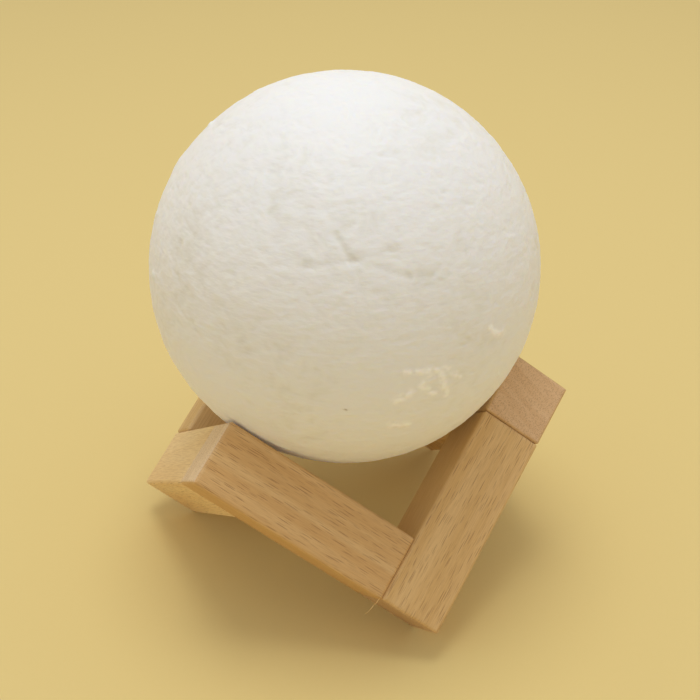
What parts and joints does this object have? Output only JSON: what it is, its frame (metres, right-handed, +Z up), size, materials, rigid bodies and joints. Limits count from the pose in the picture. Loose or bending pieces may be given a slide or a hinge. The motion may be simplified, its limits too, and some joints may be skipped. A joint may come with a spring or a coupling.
{
  "type": "moon lamp",
  "caption": "Rechargeable moon lamp: a printed white moon globe resting in a zigzag ring of square wooden bars, with a push button and charging socket in its flat base.",
  "frame": {"origin": "on the table, under the middle of the stand", "axes": "+Z up through the globe's middle, -Y towards a low corner of the stand, where two bars meet"},
  "size_m": [0.1234, 0.1426, 0.1614],
  "materials": {
    "beech": "satin",
    "dowel_beech": "matte",
    "moon_print": "matte",
    "white_abs": "matte",
    "screw_steel": "satin",
    "circuit_board": "gloss",
    "socket_steel": "satin",
    "black_plastic": "matte",
    "button_grey": "satin",
    "lens_clear": "gloss",
    "cell_sleeve": "gloss",
    "foam": "matte",
    "red_lead": "satin",
    "plate_aluminium": "satin",
    "phosphor": "gloss",
    "black_lead": "satin",
    "opal": "satin"
  },
  "bodies": {
    "stand": {"bar_front_right": "beech", "bar_right": "beech", "bar_back_right": "beech", "bar_back_left": "beech", "bar_left": "beech", "bar_front_left": "beech", "dowel_pins": "dowel_beech"},
    "globe": {"moon_shell": "moon_print", "shell_collar": "white_abs", "base_housing": "white_abs", "base_cover": "white_abs", "cover_screws": "screw_steel", "control_board": "circuit_board", "board_screws": "screw_steel", "charge_port": "socket_steel", "port_tongue": "black_plastic", "tact_switch": "black_plastic", "indicator_lens": "lens_clear", "battery_cell": "cell_sleeve", "cell_pad": "foam", "battery_leads": "red_lead", "lamp_post": "white_abs", "post_screws": "screw_steel", "led_plate": "plate_aluminium", "plate_screws": "screw_steel", "led_emitters": "phosphor", "led_leads": "black_lead", "opal_cap": "opal"},
    "button": {"power_button": "button_grey"}
  },
  "joints": [
    {"name": "globe_lift", "type": "slide", "parent": "stand", "child": "globe", "axis": [0, 0, 1], "range_m": [0, 0.06]},
    {"name": "button_press", "type": "slide", "parent": "globe", "child": "button", "axis": [0, 0, 1], "range_m": [0, 0.0005], "stiffness_N_per_m": 400, "springref_m": -0.002}
  ]
}
